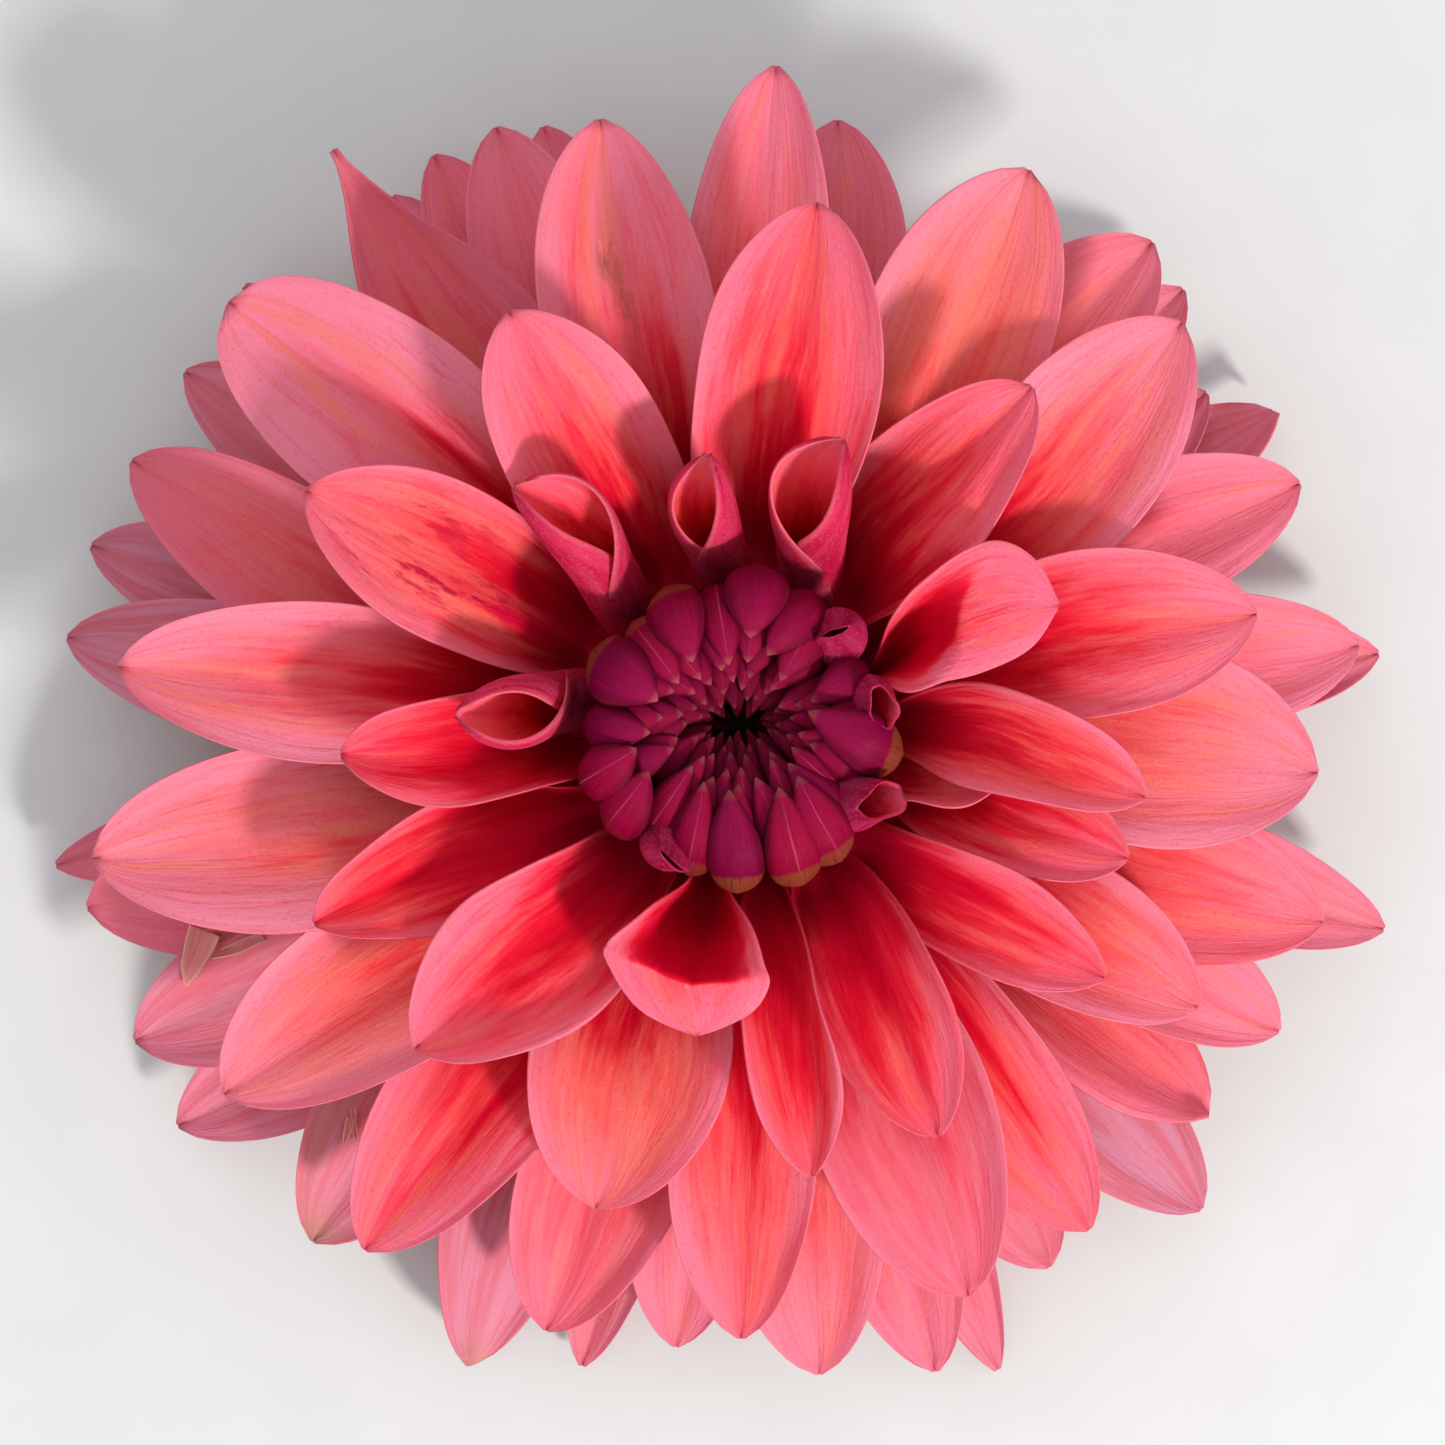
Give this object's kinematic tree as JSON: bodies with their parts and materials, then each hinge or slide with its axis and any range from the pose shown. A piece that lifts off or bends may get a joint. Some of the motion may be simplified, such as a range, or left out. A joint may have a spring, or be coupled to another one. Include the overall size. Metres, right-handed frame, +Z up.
{
  "type": "dahlia flower",
  "caption": "Decorative dahlia bloom cut under its head, lying face up: layered coral petals round a closed crimson heart, with papery and green bracts and a stem stub.",
  "frame": {"origin": "on the surface that the bloom lies on, at the centre of its outline", "axes": "+Z up out of the heart, along the stem; +Y to the top of the reference picture and +X to its right"},
  "size_m": [0.1556, 0.1501, 0.0522],
  "materials": {
    "petal": "satin petal, coral with a red throat and mauve-pink tips",
    "heart": "satin closed floret, crimson with olive-brown backs",
    "papery_bract": "matte, thin and straw green",
    "green_stem": "satin green stem and leafy bracts"
  },
  "bodies": {
    "root": {"ray_petals": "petal", "heart_florets": "heart", "inner_bracts": "papery_bract", "stem_and_outer_bracts": "green_stem"}
  },
  "joints": []
}
